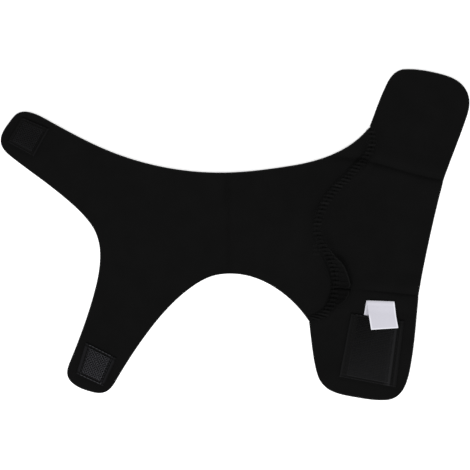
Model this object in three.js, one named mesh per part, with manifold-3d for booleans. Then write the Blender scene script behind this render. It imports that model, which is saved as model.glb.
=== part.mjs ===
// Ankle brace of neoprene laminate, opened out flat with its inside face up.
// A forked foot panel and an ankle panel meet in a curved heel seam, whose allowance stands on the inside.
// Three pieces of hook tape and a folded care label are sewn on.
// Millimetres, +Z up. The two instep straps point to -X, the two ankle flaps to +Y and -Y.
import * as THREE from 'three';
import { mergeVertices } from 'three/addons/utils/BufferGeometryUtils.js';
import Module from 'manifold-3d';

// Sheet and tape thicknesses
const LAMINATE = 3;
const TAPE = 0.8;
const HOOK_HEIGHT = 1;
const LABEL = 0.4;

// Clearance between pieces that are sewn together
const GAP = 0.3;

// Seam allowance: width of one layer, width of its rounded shoulder, spread of its foot
const LIP = 2.6;
const SHOULDER = 0.8;
const TOE = 0.6;

// How finely edges and relief are faceted
const TURN_STEP = 9;
const LONGEST_STEP = 30;
const SEAM_STEP = 4;
const RELIEF_STEP = 6;
const CREASE_STEP = 3;
const ROWS_BETWEEN_CREASES = 9;

// Sheets and cutting prisms reach this far past the outline
const MARGIN = 8;
const PRISM_HEIGHT = 40;

// Cut edge of the foot panel, anticlockwise from the top of the heel seam to its bottom.
// heading is the way the edge runs at the point, in degrees from +X.
const FOOT_EDGE = [
  { at: 'top of the heel seam', x: 96.5, y: 76.5, heading: 231 },
  { at: 'rise to the heel', x: 72, y: 58.2, heading: 204 },
  { at: 'arch, heel end', x: 41, y: 49.4, heading: 189 },
  { at: 'arch, narrowest', x: -14, y: 44.4, heading: 179 },
  { at: 'upper strap root', x: -89, y: 59.3, heading: 158.5 },
  { at: 'upper strap edge', x: -132, y: 80.6, heading: 151 },
  { at: 'upper strap corner starts', x: -146.5, y: 87.5, heading: 164 },
  { at: 'upper strap corner ends', x: -154.5, y: 87.9, heading: 197 },
  { at: 'upper strap end', x: -161, y: 82.5, heading: 234 },
  { at: 'upper strap far corner starts', x: -168.4, y: 69, heading: 262 },
  { at: 'upper strap far corner ends', x: -166, y: 61.2, heading: 308 },
  { at: 'upper strap inner edge', x: -159, y: 54.8, heading: 322 },
  { at: 'fork, upper side', x: -127.5, y: 31, heading: 321 },
  { at: 'fork, upper bend', x: -103.6, y: 7.8, heading: 306 },
  { at: 'fork, deepest', x: -96.8, y: -15, heading: 270 },
  { at: 'fork, lower bend', x: -100.4, y: -39.5, heading: 255.5 },
  { at: 'lower strap edge', x: -118.8, y: -92.4, heading: 247.5 },
  { at: 'lower strap corner starts', x: -120.5, y: -100.5, heading: 276 },
  { at: 'lower strap corner ends', x: -114, y: -108.8, heading: 328 },
  { at: 'lower strap end', x: -102, y: -113.3, heading: 345.5 },
  { at: 'lower strap far corner', x: -94, y: -113.3, heading: 19 },
  { at: 'lower strap inner edge', x: -86.5, y: -106, heading: 60 },
  { at: 'lower strap root', x: -61, y: -67.5, heading: 52.5 },
  { at: 'bay, strap side', x: -32, y: -38, heading: 36 },
  { at: 'bay, top left', x: -10.5, y: -28.3, heading: 7 },
  { at: 'bay, top right', x: 6.5, y: -28.7, heading: 349.5 },
  { at: 'bay, heel side', x: 35.5, y: -42.5, heading: 322 },
  { at: 'bottom of the heel seam', x: 53.4, y: -61.9, heading: 304 },
];

// Cut edge of the ankle panel, anticlockwise from the bottom of the heel seam to its top
const ANKLE_EDGE = [
  { at: 'bottom of the heel seam', x: 53.8, y: -63, heading: 276 },
  { at: 'lower flap edge', x: 56.4, y: -84.5, heading: 278 },
  { at: 'lower flap corner starts', x: 59.6, y: -100.4, heading: 287 },
  { at: 'lower flap corner ends', x: 69.7, y: -112.4, heading: 335 },
  { at: 'lower flap end', x: 85.2, y: -116.6, heading: 350.5 },
  { at: 'lower flap far corner starts', x: 110, y: -118.8, heading: 6 },
  { at: 'lower flap far corner', x: 117.5, y: -115.6, heading: 40 },
  { at: 'lower flap far corner ends', x: 122.3, y: -109, heading: 66 },
  { at: 'lower flap outer edge', x: 126.5, y: -93.5, heading: 80 },
  { at: 'below the lower crease', x: 131.8, y: -45, heading: 85 },
  { at: 'above the lower crease', x: 132.7, y: -38.5, heading: 79.5 },
  { at: 'below the upper crease', x: 149.6, y: 38, heading: 75.5 },
  { at: 'above the upper crease', x: 152, y: 45.5, heading: 69 },
  { at: 'upper flap outer edge', x: 165, y: 80, heading: 70.5 },
  { at: 'upper flap corner', x: 168.6, y: 96.3, heading: 93.5 },
  { at: 'upper flap corner ends', x: 161, y: 110, heading: 144 },
  { at: 'upper flap end', x: 146, y: 116, heading: 166.5 },
  { at: 'upper flap far corner starts', x: 121.5, y: 118.8, heading: 184 },
  { at: 'upper flap far corner ends', x: 113.4, y: 114.2, heading: 228.5 },
  { at: 'upper flap inner edge', x: 107.2, y: 103, heading: 245.5 },
  { at: 'top of the heel seam', x: 97.2, y: 77.4, heading: 248 },
];

// Middle of the heel seam, from its top to its bottom
const HEEL_SEAM = [
  { at: 'top', x: 97.4, y: 77.2, heading: -80 },
  { at: 'upper turn', x: 98.6, y: 65, heading: -100 },
  { at: 'slope to the heel', x: 82.5, y: 43, heading: -132 },
  { at: 'above the heel', x: 66.2, y: 25, heading: -122 },
  { at: 'heel', x: 58.7, y: 4, heading: -89 },
  { at: 'below the heel', x: 64.5, y: -11, heading: -62 },
  { at: 'slope to the pucker', x: 69.8, y: -21, heading: -66 },
  { at: 'pucker', x: 72.3, y: -34, heading: -91 },
  { at: 'slope to the sole', x: 66.6, y: -54, heading: -126 },
  { at: 'bottom', x: 53.6, y: -62.5, heading: -152 },
];

// Sections of the seam allowance, by height in the pattern.
// rise is how far it stands above the inside face.
// reach is how far the ankle panel's slack puckers over towards +X before it drops back.
const ALLOWANCE = [
  { y: 77, reach: 2.6, rise: 2.4 },
  { y: 64, reach: 2.8, rise: 3.6 },
  { y: 2, reach: 3, rise: 4 },
  { y: -8, reach: 4.4, rise: 4.2 },
  { y: -15, reach: 6.6, rise: 4.5 },
  { y: -22, reach: 9.2, rise: 4.8 },
  { y: -35, reach: 12, rise: 5.2 },
  { y: -38.5, reach: 11.6, rise: 3.6 },
  { y: -42, reach: 12, rise: 4.6 },
  { y: -49, reach: 9.5, rise: 4.2 },
  { y: -56, reach: 5, rise: 3 },
  { y: -62.5, reach: 2.6, rise: 2.4 },
];

// Heel pocket: the curved seam lifts the sheet here into a low dome
const HEEL_DOME = { x: 66, y: 6, halfLength: 46, halfWidth: 52, rise: 6 };

// Creases where the ankle flaps were folded in. Each is a shallow valley between two swells.
// The line runs through (x, y) with a slope, and bends away past x. It fades out across the seam.
const CREASES = [
  { at: 'lower flap', x: 84, y: -38.4, slope: -0.107, bend: 0, swell: 1.2, spread: 16, from: 56, to: 80 },
  { at: 'upper flap', x: 97, y: 51.3, slope: -0.13, bend: -0.0025, swell: 1.2, spread: 16, from: 70, to: 96 },
];

// Fold across the arch band, straight up the pattern
const ARCH_FOLD = { x: -5, swell: 0.6, spread: 14 };

// Heights in the pattern between which the foot panel isn't flat on the table
const FOOT_RELIEF = { low: -60, high: 74 };

// Further than either ankle flap reaches past its crease
const FLAP_REACH = 110;

// Hook tapes by their corners, anticlockwise from the lower right one, and the plain border round the hooks
const HOOK_TAPES = [
  {
    node: 'instep_hook_upper',
    border: 2.4,
    corners: [[-145.6, 56.8], [-134.8, 76.6], [-153.2, 84.2], [-163.6, 66.8]],
  },
  {
    node: 'instep_hook_lower',
    border: 2.4,
    corners: [[-95.8, -107.4], [-86.7, -88.3], [-106.2, -78.2], [-112.8, -99.6]],
  },
  {
    node: 'ankle_hook',
    border: 3.2,
    corners: [[113.6, -109.6], [119.5, -62.1], [83.5, -56.9], [75, -102.1]],
  },
];

// Care label from its sewn end, up to its fold and back down over the hook tape.
// left and right are its two edges, rest its height above the panel, lean how far it has turned over.
const CARE_LABEL = [
  { at: 'sewn end', left: [92.4, -57], right: [112.6, -60], rest: 0.5, lean: 0 },
  { at: 'below the fold', left: [94.5, -47.4], right: [114.6, -48], rest: 0.6, lean: 10 },
  { at: 'fold', left: [94.6, -46.6], right: [114.8, -47.2], rest: 1.3, lean: 90 },
  { at: 'above the fold', left: [94.8, -47.4], right: [114.9, -48], rest: 2, lean: 170 },
  { at: 'over the tape edge', left: [96, -57.2], right: [116.2, -59.6], rest: 2.65, lean: 178 },
  { at: 'free end', left: [97.6, -68.7], right: [118.2, -67.6], rest: 2.65, lean: 180 },
];

const wasm = await Module();
wasm.setup();

// Eased step from 0 at the lower limit to 1 at the upper one
function ease(value, low, high) {
  return THREE.MathUtils.smoothstep(value, low, high);
}

// Valley with a swell on each side: nothing on the line, highest a third of the spread away
function valley(distance, swell, spread) {
  const part = Math.min(Math.abs(distance) / spread, 1);
  const peak = 27 / 4;
  return swell * peak * part * (1 - part) ** 2;
}

function creaseLine(crease, x) {
  const past = Math.max(x - crease.x, 0);
  return crease.y + crease.slope * (x - crease.x) + crease.bend * past ** 2;
}

// Height of the outside face above the table
function lie(x, y) {
  const acrossDome = (x - HEEL_DOME.x) / HEEL_DOME.halfLength;
  const alongDome = (y - HEEL_DOME.y) / HEEL_DOME.halfWidth;
  const fromCrown = Math.min(acrossDome ** 2 + alongDome ** 2, 1);
  let height = HEEL_DOME.rise * (1 - fromCrown) ** 2;
  for (const crease of CREASES) {
    const shown = ease(x, crease.from, crease.to);
    height += shown * valley(y - creaseLine(crease, x), crease.swell, crease.spread);
  }
  return height + valley(x - ARCH_FOLD.x, ARCH_FOLD.swell, ARCH_FOLD.spread);
}

// Height of the inside face, which the tapes, label and allowance stand on
function insideFace(x, y) {
  return lie(x, y) + LAMINATE;
}

function direction(heading) {
  const angle = THREE.MathUtils.degToRad(heading);
  return new THREE.Vector2(Math.cos(angle), Math.sin(angle));
}

// Turn from one heading to another, between -180 and 180 degrees
function turnBetween(from, to) {
  return THREE.MathUtils.euclideanModulo(to - from + 180, 360) - 180;
}

// Curve between two pattern points, with the handles of the arc that turns as much
function edgeCurve(start, end) {
  const from = new THREE.Vector2(start.x, start.y);
  const to = new THREE.Vector2(end.x, end.y);
  const quarterTurn = THREE.MathUtils.degToRad(turnBetween(start.heading, end.heading)) / 4;
  const reach = from.distanceTo(to) / (3 * Math.cos(quarterTurn) ** 2);
  const leaving = direction(start.heading).multiplyScalar(reach).add(from);
  const arriving = direction(end.heading).multiplyScalar(-reach).add(to);
  return new THREE.CubicBezierCurve(from, leaving, arriving, to);
}

// Points along a row of pattern points, closer where the edge turns
function edgePoints(knots, longest) {
  const points = [];
  for (let i = 1; i < knots.length; i++) {
    const curve = edgeCurve(knots[i - 1], knots[i]);
    const turn = Math.abs(turnBetween(knots[i - 1].heading, knots[i].heading));
    const steps = Math.ceil(Math.max(turn / TURN_STEP, curve.getLength() / longest));
    points.push(...curve.getPoints(steps).slice(0, -1));
  }
  const last = knots[knots.length - 1];
  points.push(new THREE.Vector2(last.x, last.y));
  return points;
}

// Places along the heel seam, each with the level direction towards the ankle panel
function seamStations() {
  const points = edgePoints(HEEL_SEAM, SEAM_STEP);
  return points.map((point, i) => {
    const before = points[Math.max(i - 1, 0)];
    const after = points[Math.min(i + 1, points.length - 1)];
    const along = after.clone().sub(before).normalize();
    return { point, along, across: new THREE.Vector2(-along.y, along.x) };
  });
}

const SEAM = seamStations();

// Seam line moved sideways to one panel's cut edge, without the two ends
function seamEdge(side) {
  const inner = SEAM.slice(1, -1);
  return inner.map(({ point, across }) => across.clone().multiplyScalar(side * GAP / 2).add(point));
}

// Closed solid through rings of equally many points
function loft(rings) {
  const sides = rings[0].length;
  const last = (rings.length - 1) * sides;
  const faces = [];
  for (let ring = 0; ring < last; ring += sides) {
    for (let side = 0; side < sides; side++) {
      const here = ring + side;
      const next = ring + (side + 1) % sides;
      faces.push(here, next, next + sides, here, next + sides, here + sides);
    }
  }
  for (let side = 1; side < sides - 1; side++) {
    faces.push(0, side + 1, side, last, last + side, last + side + 1);
  }
  const geometry = new THREE.BufferGeometry().setFromPoints(rings.flat());
  geometry.setIndex(faces);
  return geometry;
}

// Solid for cutting and joining
function solid(geometry) {
  const bare = geometry.clone();
  bare.deleteAttribute('normal');
  bare.deleteAttribute('uv');
  const merged = mergeVertices(bare);
  return new wasm.Manifold(new wasm.Mesh({
    numProp: 3,
    vertProperties: new Float32Array(merged.attributes.position.array),
    triVerts: new Uint32Array(merged.index.array),
  }));
}

function geometryOf(body) {
  const mesh = body.getMesh();
  const geometry = new THREE.BufferGeometry();
  geometry.setAttribute('position', new THREE.BufferAttribute(mesh.vertProperties, 3));
  geometry.setIndex(new THREE.BufferAttribute(mesh.triVerts, 1));
  return geometry;
}

// Evenly spaced values from one limit to the other
function spaced(from, to, step) {
  const count = Math.ceil((to - from) / step);
  return Array.from({ length: count + 1 }, (_, i) => from + (to - from) * i / count);
}

// Sheet of laminate over a grid. columns are x values, rows give y for an x.
function sheet(columns, rows) {
  const across = columns.length - 1;
  const along = rows.length - 1;
  const box = new THREE.BoxGeometry(across, along, LAMINATE, across, along, 1);
  const place = box.attributes.position;
  for (let i = 0; i < place.count; i++) {
    const x = columns[Math.round(place.getX(i) + across / 2)];
    const y = rows[Math.round(place.getY(i) + along / 2)](x);
    const inside = place.getZ(i) > 0;
    place.setXYZ(i, x, y, inside ? insideFace(x, y) : lie(x, y));
  }
  return box;
}

// Grid for the foot panel: flat straps, the arch fold, then the heel dome
function footSheet(bounds) {
  const foldStart = ARCH_FOLD.x - ARCH_FOLD.spread;
  const foldEnd = ARCH_FOLD.x + ARCH_FOLD.spread;
  const domeStart = HEEL_DOME.x - HEEL_DOME.halfLength;
  const columns = [
    bounds.min.x,
    ...spaced(foldStart, foldEnd, CREASE_STEP),
    ...spaced(domeStart, bounds.max.x, RELIEF_STEP),
  ];
  const heights = [
    bounds.min.y,
    ...spaced(FOOT_RELIEF.low, FOOT_RELIEF.high, RELIEF_STEP),
    bounds.max.y,
  ];
  return sheet(columns, heights.map((y) => () => y));
}

// Grid for the ankle panel, whose rows follow the two creases
function ankleSheet(bounds) {
  const [lower, upper] = CREASES;
  const columns = spaced(bounds.min.x, bounds.max.x, RELIEF_STEP);
  const offsets = spaced(-lower.spread, lower.spread, CREASE_STEP);
  const shares = spaced(0, 1, 1 / ROWS_BETWEEN_CREASES).slice(1, -1);
  const betweenCreases = (share) => (x) => THREE.MathUtils.lerp(
    creaseLine(lower, x) + lower.spread,
    creaseLine(upper, x) - upper.spread,
    share,
  );
  const rows = [
    (x) => creaseLine(lower, x) - FLAP_REACH,
    ...offsets.map((offset) => (x) => creaseLine(lower, x) + offset),
    ...shares.map(betweenCreases),
    ...offsets.map((offset) => (x) => creaseLine(upper, x) + offset),
    (x) => creaseLine(upper, x) + FLAP_REACH,
  ];
  return sheet(columns, rows);
}

// Row of the allowance table at a height, worked out between its neighbours
function allowanceAt(y) {
  const next = Math.max(ALLOWANCE.findIndex((row) => row.y <= y), 1);
  const above = ALLOWANCE[next - 1];
  const below = ALLOWANCE[next];
  const share = THREE.MathUtils.clamp((above.y - y) / (above.y - below.y), 0, 1);
  return {
    reach: THREE.MathUtils.lerp(above.reach, below.reach, share),
    rise: THREE.MathUtils.lerp(above.rise, below.rise, share),
  };
}

// One panel's half of the seam allowance. side is 1 for the ankle panel and -1 for the foot panel.
// It runs past the seam line and past both ends, where the outline trims it.
function allowance(side) {
  const ends = [[0, -MARGIN], [SEAM.length - 1, MARGIN]];
  const stations = [...SEAM];
  for (const [index, step] of ends) {
    const { point, along, across } = SEAM[index];
    const past = { point: along.clone().multiplyScalar(step).add(point), along, across };
    stations.splice(step < 0 ? 0 : stations.length, 0, past);
  }
  const rings = stations.map(({ point, across }) => {
    const section = allowanceAt(point.y);
    const reach = side > 0 ? section.reach : LIP;
    const profile = [
      { out: -LIP, up: -LAMINATE / 2 },
      { out: reach + TOE, up: -LAMINATE / 2 },
      { out: reach, up: section.rise - SHOULDER },
      { out: reach - SHOULDER, up: section.rise },
      { out: -LIP, up: section.rise },
    ];
    const ring = profile.map(({ out, up }) => {
      const x = point.x + side * out * across.x;
      const y = point.y + side * out * across.y;
      return new THREE.Vector3(x, y, insideFace(x, y) + up);
    });
    return side > 0 ? ring : ring.reverse();
  });
  return loft(rings);
}

// Panel: sheet and allowance together, trimmed to the pattern's outline
function panel(outline, makeSheet, side) {
  const bounds = new THREE.Box2().setFromPoints(outline).expandByScalar(MARGIN);
  const prism = new THREE.ExtrudeGeometry(new THREE.Shape(outline), {
    depth: PRISM_HEIGHT,
    bevelEnabled: false,
  });
  prism.translate(0, 0, -MARGIN);
  const uncut = solid(makeSheet(bounds)).add(solid(allowance(side)));
  return geometryOf(uncut.intersect(solid(prism)));
}

function footPanel() {
  const outline = [...edgePoints(FOOT_EDGE, LONGEST_STEP), ...seamEdge(-1).reverse()];
  return panel(outline, footSheet, -1);
}

function anklePanel() {
  const outline = [...edgePoints(ANKLE_EDGE, LONGEST_STEP), ...seamEdge(1)];
  return panel(outline, ankleSheet, 1);
}

// Corners moved inwards by the same distance from both of their edges
function inset(corners, distance) {
  return corners.map((corner, i) => {
    const here = new THREE.Vector2(...corner);
    const next = new THREE.Vector2(...corners[(i + 1) % corners.length]);
    const before = new THREE.Vector2(...corners[(i + corners.length - 1) % corners.length]);
    const ahead = next.sub(here).normalize();
    const back = before.sub(here).normalize();
    const apart = Math.abs(ahead.cross(back));
    return here.add(ahead.add(back).multiplyScalar(distance / apart)).toArray();
  });
}

// Hook tape: a flat woven backing with the block of hooks standing inside a plain border
function hookTape({ corners, border }) {
  const backing = LAMINATE + GAP;
  const field = inset(corners, border);
  const level = (outline, z) => outline.map(([x, y]) => new THREE.Vector3(x, y, z));
  return loft([
    level(corners, backing),
    level(corners, backing + TAPE),
    level(field, backing + TAPE),
    level(field, backing + TAPE + HOOK_HEIGHT),
  ]);
}

// Care label: a thin ribbon that follows its table of places
function careLabel() {
  const rings = CARE_LABEL.map(({ left, right, rest, lean }) => {
    const angle = THREE.MathUtils.degToRad(lean);
    const half = new THREE.Vector3(0, -Math.sin(angle), Math.cos(angle)).multiplyScalar(LABEL / 2);
    const [one, other] = [left, right].map(([x, y]) => new THREE.Vector3(x, y, insideFace(x, y) + rest));
    return [
      one.clone().sub(half),
      one.clone().add(half),
      other.clone().add(half),
      other.clone().sub(half),
    ];
  });
  return loft(rings);
}

// Finishes
const LAMINATE_FINISH = { color: '#121212', roughness: 0.92, metalness: 0 };
const HOOK_FINISH = { color: '#242426', roughness: 0.55, metalness: 0 };
const LABEL_FINISH = { color: '#d6d4dc', roughness: 0.75, metalness: 0 };

function piece(name, geometry, finish) {
  const mesh = new THREE.Mesh(geometry, new THREE.MeshStandardMaterial(finish));
  mesh.name = name;
  return mesh;
}

const ankleBrace = new THREE.Group();
ankleBrace.add(piece('foot_panel', footPanel(), LAMINATE_FINISH));
ankleBrace.add(piece('ankle_panel', anklePanel(), LAMINATE_FINISH));
for (const tape of HOOK_TAPES) {
  ankleBrace.add(piece(tape.node, hookTape(tape), HOOK_FINISH));
}
ankleBrace.add(piece('care_label', careLabel(), LABEL_FINISH));

export default ankleBrace;
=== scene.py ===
import bpy
import numpy as np
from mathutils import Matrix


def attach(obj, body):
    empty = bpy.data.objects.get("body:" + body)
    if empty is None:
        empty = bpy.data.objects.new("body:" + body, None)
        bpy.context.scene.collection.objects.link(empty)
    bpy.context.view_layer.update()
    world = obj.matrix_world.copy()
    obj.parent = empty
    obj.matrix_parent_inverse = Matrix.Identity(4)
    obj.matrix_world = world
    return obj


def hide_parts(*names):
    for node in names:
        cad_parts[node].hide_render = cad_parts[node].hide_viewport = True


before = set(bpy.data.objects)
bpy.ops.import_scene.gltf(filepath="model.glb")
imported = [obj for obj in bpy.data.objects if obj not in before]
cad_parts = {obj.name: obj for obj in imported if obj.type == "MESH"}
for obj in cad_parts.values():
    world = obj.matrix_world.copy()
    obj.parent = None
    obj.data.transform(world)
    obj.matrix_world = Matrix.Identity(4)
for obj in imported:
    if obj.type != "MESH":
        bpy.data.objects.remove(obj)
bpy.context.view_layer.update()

# Laminate panels
# The brace is two panels of 3 mm neoprene laminate: black nylon jersey bonded to the inside of the foam,
# brushed loop pile to its outside. They are knife-cut to a pattern, so bare foam shows on the edge.
MM = 0.001
LAMINATE = 3.0
EDGE_ROUND = 0.45
FOAM_BULGE, SEAM_BULGE = 0.35, 0.06

# Cut edges as pattern points (x mm, y mm, heading in degrees), walking anticlockwise round each panel
INSTEP_EDGE = [(96.5, 76.5, 231), (72, 58.2, 204), (41, 49.4, 189), (-14, 44.4, 179), (-52.2, 48.5, 168.8)]
UPPER_STRAP_EDGE = [(-52.2, 48.5, 168.8), (-89, 59.3, 158.5), (-132, 80.6, 151), (-146.5, 87.5, 164),
                    (-154.5, 87.9, 197)]
UPPER_STRAP_END = [(-154.5, 87.9, 197), (-161, 82.5, 234), (-168.4, 69, 262), (-166, 61.2, 308)]
UPPER_FORK = [(-166, 61.2, 308), (-159, 54.8, 322), (-127.5, 31, 321), (-103.6, 7.8, 306), (-96.8, -15, 270)]
LOWER_FORK = [(-96.8, -15, 270), (-100.4, -39.5, 255.5), (-118.8, -92.4, 247.5), (-120.5, -100.5, 276)]
LOWER_STRAP_END = [(-120.5, -100.5, 276), (-114, -108.8, 328), (-102, -113.3, 345.5), (-94, -113.3, 19)]
LOWER_STRAP_EDGE = [(-94, -113.3, 19), (-86.5, -106, 60), (-61, -67.5, 52.5)]
BAY_EDGE = [(-61, -67.5, 52.5), (-32, -38, 36), (-10.5, -28.3, 7), (6.5, -28.7, 349.5), (35.5, -42.5, 322),
            (53.4, -61.9, 304)]
LOWER_FLAP_EDGE = [(53.8, -63, 276), (56.4, -84.5, 278), (59.6, -100.4, 287), (63.4, -107.5, 311)]
LOWER_FLAP_END = [(63.4, -107.5, 311), (69.7, -112.4, 335), (85.2, -116.6, 350.5), (110, -118.8, 6),
                  (117.5, -115.6, 40)]
BACK_EDGE = [(117.5, -115.6, 40), (122.3, -109, 66), (126.5, -93.5, 80), (131.8, -45, 85),
             (132.7, -38.5, 79.5), (149.6, 38, 75.5), (152, 45.5, 69), (165, 80, 70.5), (168.6, 96.3, 93.5),
             (166.3, 104, 119)]
UPPER_FLAP_END = [(166.3, 104, 119), (161, 110, 144), (146, 116, 166.5), (121.5, 118.8, 184),
                  (117, 117.3, 206)]
UPPER_FLAP_EDGE = [(117, 117.3, 206), (113.4, 114.2, 228.5), (107.2, 103, 245.5), (97.2, 77.4, 248)]

# Middle of the arch band, from the heel to the fork: the foot panel's two grids meet on it
ARCH_MIDDLE = [(58.55, 4, 181), (-20, 9, 180), (-96.8, -15, 184)]

# Heel seam from its top to its bottom, with the ankle panel on the left of the walk
HEEL_SEAM = [(97.4, 77.2, -80), (98.6, 65, -100), (82.5, 43, -132), (66.2, 25, -122), (58.7, 4, -89),
             (64.5, -11, -62), (69.8, -21, -66), (72.3, -34, -91), (66.6, -54, -126), (53.6, -62.5, -152)]
SEAM_GAP, SEAM_STEPS, SEAM_HALF_STEP = 0.08, 30, 0.5
HEEL_Y = 4

# Heights in the pattern for which the values of the seam allowance below are given
ALLOWANCE_Y = [-62.5, -56, -50.5, -46, -41.5, -39.0, -38.2, -37.4, -35.5,
               -30.5, -24, -18.4, -10.6, 0, 40, 52, 64, 77]

# How far the ankle panel's slack puckers over beside the seam, and how far both raw edges stand up
PUCKER_REACH = [3.1, 3.3, 4.5, 9.8, 11.8, 11.8, 9.6, 11.6, 12.2, 10.6, 8.7, 6.0, 4.3, 3.6, 3.5, 3.4, 3.3, 3.1]
ALLOWANCE_RISE = [1.4, 1.9, 2.6, 3.0, 2.8, 2.5, 1.5, 3.9, 5.0, 5, 4.8, 4.3, 3.6, 2.9, 2.6, 3.2, 2.2, 1.4]

# Where the foot panel's bank begins to fall and where it ends
FOOT_LEDGE = [1.0, 1.0, 1.2, 1.1, 1.0, 1.0, 1.0, 1.0, 1.0, 1.8, 2.6, 2.8, 2.4, 1.2, 1.2, 1.2, 1.2, 1.2]
FOOT_BANK = [4.2, 4.2, 4.2, 4.0, 3.8, 3.8, 3.8, 3.8, 3.8, 4.4, 5.0, 5.2, 5.2, 5.2, 5.2, 4.4, 5.5, 5.5]

# How deep the cloth sinks between the needle threads, and the share of it that the pucker's gathers have
STITCH_DIP = [0.4, 0.55, 0.75, 0.75, 0.75, 0.75, 0.75, 0.8, 0.85,
              0.85, 0.8, 0.75, 0.65, 0.5, 0.4, 0.4, 0.4, 0.4]
GATHER = [0.3, 0.4, 0.5, 0.6, 0.6, 0.5, 0.3, 0.5, 0.7, 0.5, 0.5, 0.4, 0.4, 0.3, 0.3, 0.3, 0.3, 0.3]

# Painted shade on each panel beside the seam, by height along it: how much blacker the jersey is painted
# where the banks of the seam and the pucker lie in shade
ANKLE_PAINTED_SHADE = [0, 0.2, 0.8, 0.8, 0.6, 0.6, 0.7, 0.7, 0.6, 0.3, 0.1, 0, 0, 0, 0.1, 0.4, 0.1, 0]
FOOT_PAINTED_SHADE = [0, 0.2, 0.8, 0.8, 0.7, 0.7, 0.7, 0.7, 0.7, 0.8, 0.8, 0.6, 0.3, 0, 0.1, 0.5, 0.1, 0]

# The lip is the overlocked width on each side. The ankle panel's bank falls from its ledge to its end.
LIP, LIP_EASE = 2.5, 0.8
ANKLE_LEDGE, ANKLE_BANK = 1.2, 9.0

# The pucker comes in over a span of reaches. It falls away at its reach, most of the fall inside it, and
# the crest rolled along it is PUCKER_ROLL high where the edges stand up by FULL_RISE. Its gathers fade out
# between two distances inside the reach.
PUCKER_SHOWS = (4.2, 7)
PUCKER_FALL, FALL_INSIDE = 3.0, 0.75
PUCKER_ROLL, PUCKER_CREST, CREST_HALF, FULL_RISE = 0.75, 2.0, 1.1, 5
GATHER_FADES, GATHER_ENDS = 4, 2

# Needle threads: their pitch, how far they turn from square towards level, and how the dips between them vary
STITCH_PITCH, BAR_LEVEL = 3.2, 0.75
DIP_MEAN, DIP_SPREAD, DIP_TURN = 0.75, 0.5, 2.1

# Where the painted shade ends: at the crest of the pucker but no nearer than the first value, or the second
# value short of where the foot's bank ends, eased over the third
SHADE_LEAST, SHADE_SHORT, SHADE_EASE = 4.5, 0.5, 1


def cut_line(knots, steps=40):
    """Edge through pattern points. Between two points it is a cubic with the handles of the circular arc that
    turns as much."""
    x, y, heading = np.array(knots, float).T
    place = np.stack([x, y], 1)
    angle = np.radians(heading)
    turn = (np.diff(angle) + np.pi) % (2 * np.pi) - np.pi
    chord = np.linalg.norm(np.diff(place, axis=0), axis=1)
    reach = (chord / (3 * np.cos(turn / 4) ** 2))[:, None, None]
    way = np.stack([np.cos(angle), np.sin(angle)], 1)
    start, end = place[:-1, None], place[1:, None]
    leave, arrive = start + reach * way[:-1, None], end - reach * way[1:, None]
    t = np.linspace(0, 1, steps, endpoint=False)[:, None]
    curve = (1 - t) ** 3 * start + 3 * (1 - t) ** 2 * t * leave + 3 * (1 - t) * t ** 2 * arrive + t ** 3 * end
    return np.concatenate([curve.reshape(-1, 2), place[-1:]])


def run_of(line):
    """Length walked up to each point of a line."""
    return np.concatenate([[0], np.cumsum(np.linalg.norm(np.diff(line, axis=0), axis=1))])


def at_runs(wanted, run, line):
    """Points of a line at the wanted lengths along it, from the run up to each of its own points."""
    return np.stack([np.interp(wanted, run, line[:, k]) for k in (0, 1)], -1)


def along(line, shares):
    """Points at the given shares of a line's length."""
    run = run_of(line)
    return at_runs(shares * run[-1], run, line)


def at_heights(line, heights):
    """Points of a line that climbs in y all the way, at the given y."""
    return np.stack([np.interp(heights, line[:, 1], line[:, 0]), heights], 1)


def cloth_grid(inner, outer, first, last, u, v):
    """Coons patch: lines ruled from inner to outer, plus lines ruled from first to last, less the share
    that the four corners have in both."""
    u, v = u[:, None, None], v[None, :, None]
    ruled = (1 - v) * inner[:, None] + v * outer[:, None]
    crossed = (1 - u) * first[None] + u * last[None]
    corners = (1 - u) * ((1 - v) * inner[0] + v * outer[0]) + u * ((1 - v) * inner[-1] + v * outer[-1])
    return ruled + crossed - corners


def weld(grids):
    """Joins plan grids that share an edge. Gives each point once, and the grids as numbers of points."""
    every = np.concatenate([grid.reshape(-1, 2) for grid in grids])
    key = np.round(every, 3)
    first, number = np.unique(key, axis=0, return_index=True, return_inverse=True)[1:]
    ends = np.cumsum([grid[..., 0].size for grid in grids])
    shares = np.split(number.ravel(), ends[:-1])
    return every[first], [share.reshape(grid.shape[:2]) for share, grid in zip(shares, grids)]


def quads(numbers):
    """Faces of a grid of point numbers. They face the way of the first direction crossed with the second."""
    corners = [numbers[:-1, :-1], numbers[1:, :-1], numbers[1:, 1:], numbers[:-1, 1:]]
    return np.stack(corners, -1).reshape(-1, 4)


def border(grid):
    """Numbers round the border of a grid: along its first row, and on round it."""
    return np.concatenate([grid[0, :-1], grid[:-1, -1], grid[-1, :0:-1], grid[:0:-1, 0]])


def outward(line):
    """Unit ways out of a closed line: from the point before to the one after, turned to the right."""
    ahead = np.roll(line, -1, axis=0) - np.roll(line, 1, axis=0)
    return np.stack([ahead[:, 1], -ahead[:, 0]], 1) / np.linalg.norm(ahead, axis=1)[:, None]


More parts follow.
